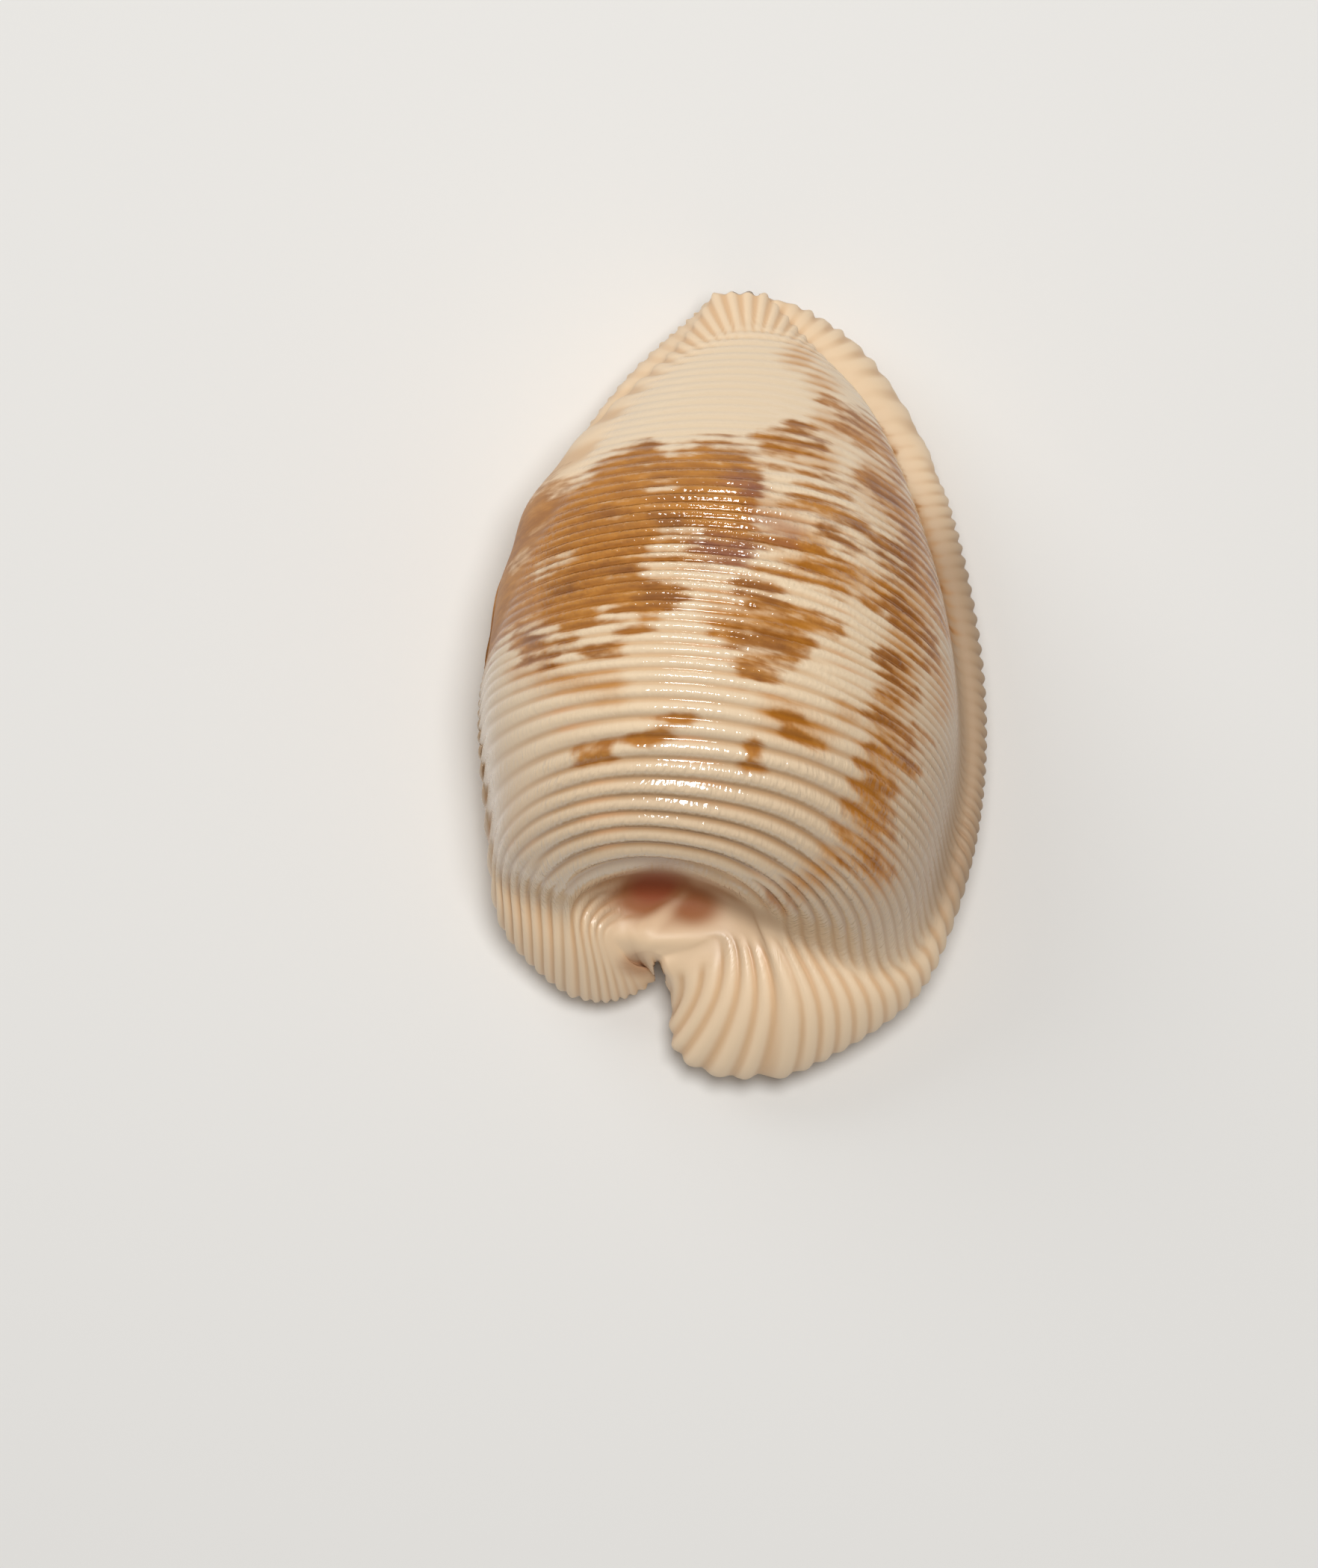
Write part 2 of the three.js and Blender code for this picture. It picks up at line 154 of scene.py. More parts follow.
# The section along one guide ridge
def topX(guide):
    middle = (guide["leftGroove"][0] + guide["rightGroove"][0]) / 2
    return mix(guide["crown"][0], middle, shell["crownLean"])


# Seen from above a ridge is a quarter ellipse each way
def planY(guide, x):
    crown = guide["crown"]
    foot = guide["leftGroove"] if x < crown[0] else guide["rightGroove"]
    across = min(1, abs((x - crown[0]) / (foot[0] - crown[0])))
    return mix(crown[1], foot[1], 1 - math.sqrt(1 - across * across))


# Seen from the side it is an arch on the dome, and a shallow bow on the floor of the pit
def domeSide(guide, foot):
    points = []
    arch = guide.get("arch", 1)
    for angle in arcAngles:
        flatOut = 1 - angle / (math.pi / 2)
        out = mix(flatOut, math.cos(angle) ** shell["wallTaper"], arch)
        rise = mix(1 - flatOut * flatOut, math.sin(angle) ** shell["wallTaper"], arch)
        x = mix(topX(guide), foot[0], out)
        points.append((x, planY(guide, x), mix(foot[2], guide["crown"][2], rise)))
    return points


def shoulder(edge, groove, bow):
    width = math.hypot(edge[0] - groove[0], edge[1] - groove[1])
    middle = [mix(a, b, 0.5) for a, b in zip(edge, groove)]
    return (middle[0] + bow * width, middle[1], middle[2] + shell["shoulderBulge"] * width)


def acrossSlit(index):
    before = guideRidges[max(0, index - 1)]["opening"]
    after = guideRidges[min(len(guideRidges) - 1, index + 1)]["opening"]
    along = np.array(after[:2]) - np.array(before[:2])
    return np.array((along[1], -along[0])) / np.linalg.norm(along)


def underside(guide, index, edge, side):
    slitX, slitY, halfGap, lipHeight = guide["opening"]
    across = acrossSlit(index) * side * halfGap
    depth = shell["lipDepth"]

    def inSlit(share, z):
        return (slitX + across[0] * share, slitY + across[1] * share, z)

    lip = inSlit(1.25, lipHeight)

    def onBase(share, z):
        return (mix(edge[0], lip[0], share), mix(edge[1], lip[1], share), z)

    return [
        onBase(shell["edgeTuck"], mix(lipHeight, edge[2], 0.45)),
        onBase(shell["edgeTuck"] * 4, lipHeight + 0.35),
        onBase(0.65, lipHeight - shell["baseHollow"]),
        lip,
        inSlit(1, lipHeight + depth * 0.45),
        inSlit(0.85, lipHeight + depth * 0.9),
    ]


def section(guide, index):
    left, right = guide["leftEdge"], guide["rightEdge"]
    slitX, slitY, _, lipHeight = guide["opening"]
    top = topX(guide)
    return np.array([
        left,
        shoulder(left, guide["leftGroove"], 0),
        guide["leftGroove"],
        *domeSide(guide, guide["leftGroove"]),
        (top, planY(guide, top), guide["crown"][2]),
        *reversed(domeSide(guide, guide["rightGroove"])),
        guide["rightGroove"],
        shoulder(right, guide["rightGroove"], shell["lobeBow"]),
        right,
        *underside(guide, index, right, outerLip),
        (slitX, slitY, lipHeight + shell["lipDepth"]),
        *reversed(underside(guide, index, left, spireSide)),
    ])


# A cubic B-spline surface whose control points are lifted until it passes through the sections
def lifted(points, closed):
    controls = points.copy()
    for _ in range(shell["liftRounds"]):
        onCurve = (np.roll(controls, 1, axis=0) + 4 * controls + np.roll(controls, -1, axis=0)) / 6
        step = points - onCurve
        if not closed:
            step[0] = step[-1] = 0
        controls = controls + step
    return controls


def controlCage():
    rings = np.array([lifted(section(guide, index), True) for index, guide in enumerate(guideRidges)])
    cage = lifted(rings, False)
    return np.concatenate([[2 * cage[0] - cage[1]], cage, [2 * cage[-1] - cage[-2]]])


def curveWeights(t):
    weights = [(1 - t) ** 3, 3 * t ** 3 - 6 * t ** 2 + 4, 1 + 3 * t + 3 * t ** 2 - 3 * t ** 3, t ** 3]
    return np.stack(weights, axis=-1) / 6


def slopeWeights(t):
    return np.stack([-(1 - t) ** 2, 3 * t ** 2 - 4 * t, 1 + 2 * t - 3 * t ** 2, t ** 2], axis=-1) / 2


def weightRows(places, count, weights, closed):
    cell = np.floor(places).astype(int)
    if not closed:
        cell = np.minimum(cell, count - 4)
    table = np.zeros((len(places), count))
    values = weights(places - cell)
    for step in range(4):
        column = (cell + step - 1) % count if closed else cell + step
        table[np.arange(len(places)), column] += values[:, step]
    return table


def throughValues(values, places):
    controls = lifted(np.array(values, float), False)
    before, after = 2 * controls[0] - controls[1], 2 * controls[-1] - controls[-2]
    controls = np.concatenate([[before], controls, [after]])
    return weightRows(places, len(controls), curveWeights, False) @ controls


# Where the rows and columns of the fine mesh lie, in guide ridges and in rails
def rowPlaces():
    counts = np.array([guide["count"] + guide["extra"] * 0.75 for guide in guideRidges])
    total = int(counts[-1] * shell["rowsPerRidge"])
    return np.interp(np.linspace(0, counts[-1], total + 1), counts, np.arange(len(counts)))


def columnPlaces():
    places = []
    for start in range(rail["total"]):
        fromEdge = min(start, rail["total"] - 1 - start)    # the underside repeats the back
        onDome = rail["leftGroove"] <= fromEdge < rail["rightGroove"]
        steps = shell["colsDome"] if onDome else shell["colsMargin"]
        places.extend(start + np.arange(steps) / steps)
    return np.array(places)


ridges = {
    "back": 0.175,           # crest to valley on the dome's rear half, mm
    "middle": 0.1,
    "front": 0.022,
    "margin": 0.16,
    "rays": 0.11,
    "base": 0.07,
    "lip": 0.2,
    "callusFront": 13.3,     # where the front callus begins, mm, and how bowed its edge is
    "callusBow": 0.12,
    "rayPlace": (0.6, 11.4), # its ridges are rays from here, this many degrees apart
    "rayAngle": 10,
    "wander": 0.12,          # how far a ridge strays from its even place, in ridges
    "domeNarrow": 0.62,      # below 1 the crests are wider than the valleys
    "marginNarrow": 0.65,
    "rayNarrow": 0.9,
    "zigzag": 0.35,          # how far the fine ridges of the right flank sway, in ridges
    "mantleRail": 9.4,       # the line where ridges of the two sides meet
    "lobeFiner": [4.5, 4.5, 3.0, 2.2, 1.7],    # ridges more on the left lobe, at the first guides
    # ridges more on the right flank than on its rim, at each guide
    "rightFiner": [0, 0, 0, 0, 0, 1, 3.5, 6.5, 8, 8.5, 8.5, 8.5, 8.5, 8.5],
    "flankLess": 0.6,        # how much lower they are on the flanks, as a share
    "leftFrontLess": 0.8,    # the same at the left margin's front end
    "rimOnlyLess": 0.85,     # and at the inner side of the right margin
    "uneven": 0.3,           # how much their height varies, as a share
    # floor of the pit and its callus: x, y, half length, half width in mm, and turn
    "smoothPlaces": [(-2.1, -8.4, 2.1, 1.2, -15), (-2.8, -9.95, 2.3, 1.2, 0), (0.6, -9.1, 1.3, 0.7, -25)],
}


# Where one kind of surface gives way to the next, as spans from and to. Those of four numbers rise
# over the first two and fall over the last two.
spans = {
    "domeRails": (1.4, 2.6, 11.6, 12.8),       # in rails
    "leftMarginRails": (1.6, 3.2),
    "rightMarginRails": (11.4, 12.6),
    "lobeRails": (2.6, 4.4, 23, 24),           # outside these the left lobe's ridges rule
    "rimRails": (11.9, 12.7),                  # here the right flank's ridges join those of the rim
    "rightRails": (6, 12.5),
    "middleRails": (7.2, 8.2),
    "mantleRails": (-0.6, 0.4),                # from the mantle line
    "beforeMantleRails": (-1.2, -0.2),
    "flankRails": (1.6, 4.2),                  # from the crown
    "leftFrontRails": (1.8, 2.8),
    "rimOnlyRails": (12.7, 13.9),
    "lipRails": (16.8, 17.8, 24.2, 25.2),
    "slitRails": (19.5, 20.6, 21.4, 22.5),
    "belowRails": (14.2, 15.2, 26.8, 27.8),
    "zigzagGuides": (5, 7, 10, 11),            # in guide ridges
    "frontGuides": (8.2, 10.2),
    "rearGuides": (4, 8.5),
    "leftFrontGuides": (9.8, 10.8),
    "teethGuides": (0.4, 1.8),
    "notchGuides": (0.2, 2.4),                 # plus a share of the rails
    "callusEdge": (-0.6, 0.5),                 # in mm, from the bowed edge of the front callus
    "callusRails": (13.5, 15),
    "rimOnlyY": (-7, -3),                      # in mm
    "pitEdge": (0.75, 1.4),                    # as a share of a smooth place's size
}


# A soft wave of a few random sines, the same each run
def wave(x, y, scale, seed):
    picks = np.random.RandomState(seed).uniform(-1, 1, (6, 3))
    total = 0
    for a, b, phase in picks:
        total = total + np.sin((a * x + b * y) / scale * 2.2 + phase * 9)
    return total / 3


def ridgeWave(count, narrowness):
    return (0.5 + 0.5 * np.cos(2 * np.pi * count)) ** narrowness


# How far a place is onto the callus of the front tip, whose inner edge is a bow
def frontCallus(points, column):
    x, y = points[..., 0], points[..., 1]
    edge = ridges["callusFront"] - ridges["callusBow"] * (x - 1) ** 2
    return smooth(*spans["callusEdge"], y - edge) * (1 - smooth(*spans["callusRails"], column))


# Height between valley 0 and crest 1, and the running number of the ridge, at every place
def ridgeHeights(place, column, points):
    def alongGuides(values):
        return throughValues(values, place[:, 0])[:, None]

    leftCount = alongGuides([guide["count"] for guide in guideRidges])
    middleCount = alongGuides([guide["middle"] for guide in guideRidges])
    extra = alongGuides([guide["extra"] for guide in guideRidges])
    lobeFiner = alongGuides(ridges["lobeFiner"] + [0] * (len(guideRidges) - len(ridges["lobeFiner"])))
    rightFiner = alongGuides(ridges["rightFiner"])
    x, y = points[..., 0], points[..., 1]
    stray = ridges["wander"] * wave(x, y, scale=3.0, seed=3)
    zigzag = ridges["zigzag"] * band(place, spans["zigzagGuides"]) * wave(x * 0, y, scale=2.0, seed=8)
    onMargin = np.maximum(1 - smooth(*spans["leftMarginRails"], column),
                          smooth(*spans["rightMarginRails"], column))
    narrow = mix(ridges["domeNarrow"], ridges["marginNarrow"], onMargin)

    # the ridges of the left side and its lobe
    dome = ridgeWave(leftCount + stray, narrow)
    lobe = ridgeWave(leftCount - lobeFiner + stray, narrow)
    left = mix(dome, lobe, 1 - band(column, spans["lobeRails"]))

    # those of the right flank, which join those of the rim
    right = ridgeWave(leftCount + extra + rightFiner + stray + zigzag, narrow)
    rim = ridgeWave(leftCount + extra + stray, narrow)
    right = mix(right, rim, smooth(*spans["rimRails"], column))

    # the two sides meet at the mantle line, with a strip of their own before it
    mantle = ridges["mantleRail"] + 0.5 * wave(x * 0, y, scale=4.0, seed=21)
    low, high = spans["mantleRails"]
    share = np.where(column > rail["web"], 0, smooth(mantle + low, mantle + high, column))
    low, high = spans["beforeMantleRails"]
    inMiddle = smooth(*spans["middleRails"], column) * (1 - smooth(mantle + low, mantle + high, column))
    height = mix(mix(left, right, share), ridgeWave(middleCount + stray, narrow), inMiddle)
    onRight = np.where(column > rail["web"], 0, smooth(*spans["rightRails"], column))

    # on the front callus the ridges spread like rays
    angle = np.arctan2(x - ridges["rayPlace"][0], y - ridges["rayPlace"][1])
    rays = ridgeWave(angle / math.radians(ridges["rayAngle"]) + stray, ridges["rayNarrow"])
    return mix(height, rays, frontCallus(points, column)), leftCount + stray + extra * onRight


# Distance from the smooth places in and below the pit, 1 at their edge
def fromPit(points):
    nearest = np.full(points.shape[:-1], 9.0)
    for middleX, middleY, length, width, turn in ridges["smoothPlaces"]:
        x, y = points[..., 0] - middleX, points[..., 1] - middleY
        cos, sin = math.cos(math.radians(turn)), math.sin(math.radians(turn))
        nearest = np.minimum(nearest, np.hypot((x * cos + y * sin) / length, (y * cos - x * sin) / width))
    return nearest


pit = {
    # orange patches: x, y, half length, half width in mm, and strength
    "tones": [(-2.8, -7.5, 1.3, 0.85, 0.55), (-3.4, -8.1, 1.3, 0.9, 0.3), (-1.3, -8.5, 1.1, 0.9, 0.32),
              (-2.6, -8.0, 3.2, 1.6, 0.42)],
    "fold": (-3.2, -9.2, -1.9, -8.0, 0.4),     # a pale fold between them, like a stroke of the markings
    "foldHeight": 0.06,
    "foldPaler": 0.22,
    "rails": (2, 12.5),      # the tone stays between these
    "canalShade": (-3.5, -10.7, 1.1, 0.7, 0.35),    # painted shade in the canal's recess, given like the patches above
}


def pitFold(points):
    depth = insideStroke(points[..., 0], points[..., 1], pit["fold"])
    return smooth(-0.1, pit["fold"][4], depth)


# The orange floor of the pit, deepest under its upper rim, and painted shade in the canal's recess
def pitToneAndCanalShade(points, column):
    x, y = points[..., 0], points[..., 1]
    tone = np.zeros(x.shape)
    for middleX, middleY, halfLength, halfWidth, strength in pit["tones"]:
        away = np.hypot((x - middleX) / halfLength, (y - middleY) / halfWidth)
        tone = tone + strength * (1 - smooth(0.15, 1.25, away))
    tone = tone - pit["foldPaler"] * pitFold(points)
    first, last = pit["rails"]
    tone = np.where((column > first) & (column < last), np.clip(tone, 0, 1), 0)
    # painted shade where the canal's wall falls away under the left lobe
    middleX, middleY, halfLength, halfWidth, strength = pit["canalShade"]
    away = np.hypot((x - middleX) / halfLength, (y - middleY) / halfWidth)
    return np.maximum(tone, strength * (1 - smooth(0.3, 1.2, away)))


# How deep the ridges are at each place, mm from crest to valley
def ridgeDepths(place, column, points):
    x, y = points[..., 0], points[..., 1]
    front = smooth(*spans["frontGuides"], place)
    rear = smooth(*spans["rearGuides"], place)
    dome = mix(mix(ridges["back"], ridges["middle"], rear), ridges["front"], front)
    fromCrown = abs(column - rail["crown"] - 0.5)
    dome = dome * (1 - ridges["flankLess"] * smooth(*spans["flankRails"], fromCrown))
    dome = mix(dome, ridges["rays"], frontCallus(points, column))
    leftFront = (1 - smooth(*spans["leftFrontRails"], column)) * smooth(*spans["leftFrontGuides"], place)
    margin = ridges["margin"] * (1 - ridges["leftFrontLess"] * leftFront)
    rimOnly = smooth(*spans["rimOnlyY"], y) * (1 - smooth(*spans["rimOnlyRails"], column))
    rimOnly = rimOnly * (column > rail["crown"])
    margin = margin * (1 - ridges["rimOnlyLess"] * rimOnly)
    depth = mix(margin, dome, band(column, spans["domeRails"]))
    depth = depth * smooth(*spans["pitEdge"], fromPit(points))
    depth = depth * smooth(*spans["notchGuides"], place + 0.4 * column)
    depth = depth * (1 + ridges["uneven"] * wave(x * 0.6, y * 2, scale=3.5, seed=5))

    # the base and the teeth, which stop in the slit and near the notch
    under = mix(ridges["base"], ridges["lip"], band(column, spans["lipRails"]))
    under = under * (1 - band(column, spans["slitRails"])) * smooth(*spans["teethGuides"], place)
    return mix(depth, under, band(column, spans["belowRails"]))


# Markings seen from above, mm, as strokes that mostly lie along a ridge
markings = {
    "brown": [
        (1.0, 9.2, 1.9, 9.1, 0.2), (1.9, 9.0, 3.3, 8.8, 0.23), (2.2, 9.6, 2.9, 9.5, 0.26),
        (1.2, 8.8, 2.4, 8.5, 0.2), (1.0, 8.1, 3.4, 7.7, 0.09), (3.4, 7.7, 4.5, 7.2, 0.11),
        (2.4, 7.4, 4.3, 6.9, 0.11), (2.6, 6.7, 3.7, 6.3, 0.28), (3.7, 6.3, 4.9, 5.8, 0.28),
        (3.3, 5.6, 4.5, 4.9, 0.2), (4.9, 5.6, 5.7, 4.8, 0.17), (1.9, 6.5, 2.7, 6.6, 0.17),
        (0.9, 5.2, 2.4, 5.1, 0.23), (2.4, 5.1, 3.4, 4.8, 0.2), (2.6, 4.7, 4.7, 4.0, 0.2),
        (2.7, 4.2, 3.4, 4.0, 0.23), (0.6, 4.1, 2.3, 3.9, 0.17), (2.3, 3.8, 4.1, 3.4, 0.17),
        (3.5, 10.7, 4.0, 10.5, 0.14), (4.1, 10.3, 4.9, 9.9, 0.2), (4.9, 9.8, 5.6, 9.5, 0.2),
        (3.9, 9.7, 4.6, 9.3, 0.11), (4.7, 9.1, 6.0, 8.6, 0.23), (5.7, 8.6, 6.4, 7.7, 0.23),
        (4.9, 7.7, 6.0, 7.2, 0.31), (5.6, 7.1, 6.7, 6.4, 0.37), (6.0, 6.3, 7.3, 4.9, 0.26),
        (5.3, 5.3, 6.7, 4.6, 0.26), (5.7, 4.4, 6.6, 3.7, 0.23), (7.0, 4.6, 7.7, 3.6, 0.2),
        (6.6, 4.1, 7.4, 3.3, 0.23), (5.4, 3.6, 6.3, 3.1, 0.23), (5.7, 3.1, 6.8, 2.2, 0.28),
        (6.0, 2.3, 7.5, 1.5, 0.2), (4.9, 3.0, 5.3, 2.7, 0.17), (7.3, 3.0, 8.0, 1.9, 0.17),
        (5.5, 1.0, 6.4, 0.5, 0.26), (5.6, 0.3, 6.7, -0.5, 0.23), (6.9, 1.5, 7.5, 0.9, 0.17),
        (6.6, 1.0, 7.3, 0.5, 0.17), (5.3, -0.5, 6.1, -0.8, 0.2), (5.1, -1.1, 5.9, -1.7, 0.28),
        (5.8, -1.7, 6.5, -2.3, 0.26), (6.6, -1.7, 7.3, -2.2, 0.17), (5.3, -2.4, 6.7, -3.3, 0.31),
        (4.6, -3.1, 5.3, -3.4, 0.14), (5.1, -3.7, 5.8, -4.0, 0.26), (4.7, -3.9, 5.5, -4.9, 0.26),
        (4.3, -4.7, 4.9, -5.1, 0.26), (4.9, -5.2, 5.6, -5.6, 0.23), (4.7, -6.3, 5.7, -7.1, 0.23),
        (4.1, -6.7, 4.7, -7.1, 0.14), (0.2, 3.6, 1.5, 3.4, 0.31), (0.5, 2.9, 1.9, 2.6, 0.28),
        (0.2, 2.2, 2.3, 1.9, 0.26), (2.6, 2.4, 3.1, 2.3, 0.23), (2.3, 2.1, 3.8, 1.9, 0.28),
        (-0.0, 1.5, 2.5, 1.4, 0.37), (0.2, 0.9, 2.3, 0.8, 0.26), (0.3, 0.4, 1.2, 0.1, 0.37),
        (-0.7, 1.8, 0.3, 1.7, 0.23), (1.6, -1.2, 2.2, -1.4, 0.2), (2.0, -1.7, 3.2, -2.3, 0.2),
        (0.6, -2.4, 0.7, -3.1, 0.31), (-7.9, 1.5, -7.1, 1.2, 0.43), (-7.7, 0.9, -6.8, 0.9, 0.26),
        (-6.6, 1.4, -6.0, 1.5, 0.26), (-5.4, 1.1, -4.4, 1.2, 0.26), (-3.6, -2.2, -2.8, -2.0, 0.31),
        (-2.3, -1.5, -1.8, -1.4, 0.23), (-5.6, -2.8, -4.7, -2.7, 0.26), (-3.1, -2.0, -2.5, -1.8, 0.26),
        (3.7, -5.5, 4.3, -6.0, 0.11), (1.4, -8.0, 2.0, -8.6, 0.1),
    ],
    "dark": [
        (-0.4, 8.5, 0.7, 8.4, 0.2), (0.2, 7.8, 0.9, 7.5, 0.26), (0.6, 7.3, 1.1, 7.0, 0.26),
        (-2.8, 6.1, -2.2, 5.9, 0.23), (-4.7, 4.0, -3.7, 4.1, 0.26), (-6.8, 3.4, -6.1, 3.4, 0.2),
        (-3.4, 3.1, -2.0, 3.1, 0.2), (-1.0, 5.0, 0.6, 4.8, 0.31), (0.2, 3.6, 1.3, 3.4, 0.23),
        (0.9, 2.8, 1.7, 2.7, 0.17), (0.2, 1.8, 1.9, 1.6, 0.23), (0.3, 1.3, 1.7, 1.2, 0.23),
        (0.6, 0.3, 0.9, 0.0, 0.23), (2.6, 9.1, 3.3, 8.9, 0.2), (2.5, 9.7, 2.6, 9.5, 0.17),
        (4.3, 10.2, 4.7, 9.9, 0.11), (3.4, 7.6, 4.5, 7.2, 0.09), (3.3, 5.6, 4.5, 4.9, 0.14),
        (4.0, 6.0, 4.9, 5.7, 0.17), (4.9, 5.5, 5.7, 4.8, 0.11), (5.1, 7.3, 6.1, 6.7, 0.2),
        (6.3, 5.8, 7.2, 4.9, 0.14), (5.9, 5.1, 6.6, 4.6, 0.17), (5.9, 4.4, 6.6, 3.7, 0.17),
        (7.1, 4.4, 7.6, 3.6, 0.11), (6.0, 3.0, 6.7, 2.4, 0.14), (6.3, 2.2, 7.4, 1.6, 0.11),
        (5.7, 0.9, 6.3, 0.6, 0.17), (5.7, 0.2, 6.6, -0.4, 0.11), (7.1, 1.4, 7.4, 1.0, 0.09),
        (5.3, -1.2, 5.7, -1.5, 0.14), (6.0, -2.5, 6.6, -3.0, 0.11), (-7.6, 1.7, -7.2, 1.6, 0.26),
        (-7.5, 0.9, -6.9, 0.9, 0.17), (-6.6, 1.4, -6.2, 1.5, 0.14), (-5.1, 1.1, -4.7, 1.2, 0.14),
        (-4.5, 6.1, -3.9, 5.9, 0.17), (-3.7, 8.1, -2.8, 7.8, 0.2), (-3.7, 9.0, -3.1, 8.8, 0.14),
        (1.7, 9.1, 2.0, 9.0, 0.11),
    ],
    "pale": [
        (-6.7, 6.9, -5.4, 7.7, 0.14), (-7.7, 5.5, -7.1, 5.9, 0.09), (-8.2, 4.3, -7.6, 4.8, 0.09),
        (-7.3, 4.0, -6.0, 4.7, 0.14), (-2.7, 5.5, -1.2, 5.5, 0.14), (-3.0, 4.8, -1.9, 4.9, 0.26),
        (-3.2, 7.1, -2.1, 7.3, 0.11), (-4.7, 2.4, -3.7, 2.2, 0.26), (-1.5, 4.0, 0.3, 4.1, 0.2),
        (-6.2, 7.8, -5.3, 7.8, 0.14), (-2.1, 5.3, -1.2, 5.1, 0.14), (1.0, 8.4, 2.9, 8.0, 0.14),
        (-2.2, 9.0, -1.5, 8.9, 0.23), (-0.7, 8.8, 0.2, 8.9, 0.09),
    ],
    "tan": [                 # a thin wash between the marks
        (2.4, 12.4, 2.7, 12.3, 0.18), (3.2, 11.5, 3.5, 11.2, 0.18), (4.1, -1.2, 4.3, -1.3, 0.15),
        (-4.7, -0.1, -4.5, -0.1, 0.2), (5.3, 7.6, 6.7, 6.1, 0.57), (6.7, 6.1, 7.4, 3.6, 0.57),
        (6.7, 3.3, 6.6, 1.6, 0.57), (6.4, 1.6, 6.0, -0.7, 0.51), (5.6, -1.0, 6.0, -3.0, 0.51),
        (5.4, -2.7, 5.1, -4.9, 0.48), (4.9, -4.9, 5.3, -7.1, 0.43), (0.9, 6.4, 2.9, 5.0, 0.37),
        (2.3, 4.4, 5.7, 3.3, 0.31), (-0.5, 2.4, 2.3, 1.9, 0.48), (3.4, 9.8, 5.7, 9.0, 0.26),
        (1.7, 8.8, 3.4, 8.3, 0.26), (8.0, 3.0, 8.2, 1.8, 0.1), (7.7, 0.6, 7.9, -1.0, 0.12),
        (1.4, -1.2, 3.2, -2.1, 0.34), (-4.5, -0.3, -7.9, 0.3, 0.2), (2.4, -7.6, 3.4, -6.9, 0.25),
        (3.5, -6.6, 4.6, -6.0, 0.25),
    ],
    "field": [               # outline of the large brown field, x and y
        (-8.2, 6.7), (-7.6, 7.2), (-6.9, 7.7), (-6.3, 7.9), (-5.5, 7.8), (-4.7, 8.4), (-3.7, 8.9),
        (-3.2, 9.1), (-2.8, 8.9), (-2.5, 8.5), (-1.4, 9.0), (-0.2, 9.0), (0.8, 8.6), (1.2, 7.6),
        (0.9, 6.4), (0.7, 5.1), (0.6, 4.3), (-0.8, 4.3), (-3.3, 4.3), (-3.2, 3.7), (-2.1, 3.6),
        (-1.5, 3.1), (-2.2, 2.6), (-3.0, 1.9), (-3.7, 1.5), (-4.3, 1.6), (-4.0, 2.0), (-4.7, 2.2),
        (-5.7, 1.8), (-6.2, 1.2), (-6.6, 1.9), (-7.1, 2.0), (-8.2, 1.8), (-9.0, 1.1), (-9.6, 0.1),
        (-10.1, 2.2), (-9.3, 4.4),
    ],
    # a violet tone on the dark marks, partly the enamel's own and partly a painted sheen
    "violet": [
        (-0.9, 4.9, 0.3, 4.7, 0.42), (0.0, 7.5, 0.8, 7.2, 0.25), (0.9, 6.1, 2.2, 5.5, 0.35),
    ],
    "grow": 0.06,            # mm added round every stroke
    "paleLess": 0.1,         # mm by which the pale places are smaller, so that they stay soft
    "leftEnd": (-1.2, 0.1),  # rails over which they fade out under the left edge
    "rightEnd": (12.2, 13.4),
}


# Distance to the outline of the large brown field, above 0 inside it
def insideField(x, y):
    corners = markings["field"]
    nearest = np.full(x.shape, 99.0)
    inside = np.zeros(x.shape, bool)
    for (x0, y0), (x1, y1) in zip(corners, corners[1:] + corners[:1]):
        nearest = np.minimum(nearest, -insideStroke(x, y, (x0, y0, x1, y1, 0)))
        if y0 != y1:
            inside ^= ((y0 > y) != (y1 > y)) & (x < (x1 - x0) * (y - y0) / (y1 - y0) + x0)
    return np.where(inside, nearest, -nearest)


# Rails from the left edge, below 0 under it
def fromLeftEdge(column):
    return np.where(column > rail["leftLip"], column - rail["total"], column)


# How far inside the brown, dark, tan and violet marks each place is, mm
def markDepths(points, column):
    x, y = points[..., 0], points[..., 1]
    brown = insideField(x, y)
    for stroke in markings["pale"]:
        brown = np.minimum(brown, markings["paleLess"] - insideStroke(x, y, stroke))
    for stroke in markings["brown"]:
        brown = np.maximum(brown, markings["grow"] + insideStroke(x, y, stroke))
    depths = [brown]
    for name in ("dark", "tan", "violet"):
        nearest = np.maximum.reduce([insideStroke(x, y, stroke) for stroke in markings[name]])
        depths.append(nearest + markings["grow"])
    onBack = smooth(*markings["leftEnd"], fromLeftEdge(column))
    onBack = onBack * (1 - smooth(*markings["rightEnd"], column))
    return [np.clip(mix(-1, depth, onBack), -1, 1) for depth in depths]


# Length along each ridge from the crown, mm. Both ways round it ends in the slit.
def alongRidges(points, column):
    steps = np.linalg.norm(np.diff(points, axis=1, append=points[:, :1]), axis=-1)
    length = np.cumsum(steps, axis=1) - steps
    total = steps.sum(axis=1, keepdims=True)
    crown = length[:, np.argmin(abs(column[0] - rail["crown"]))][:, None]
    return np.where(column > rail["web"], length - total, length) - crown
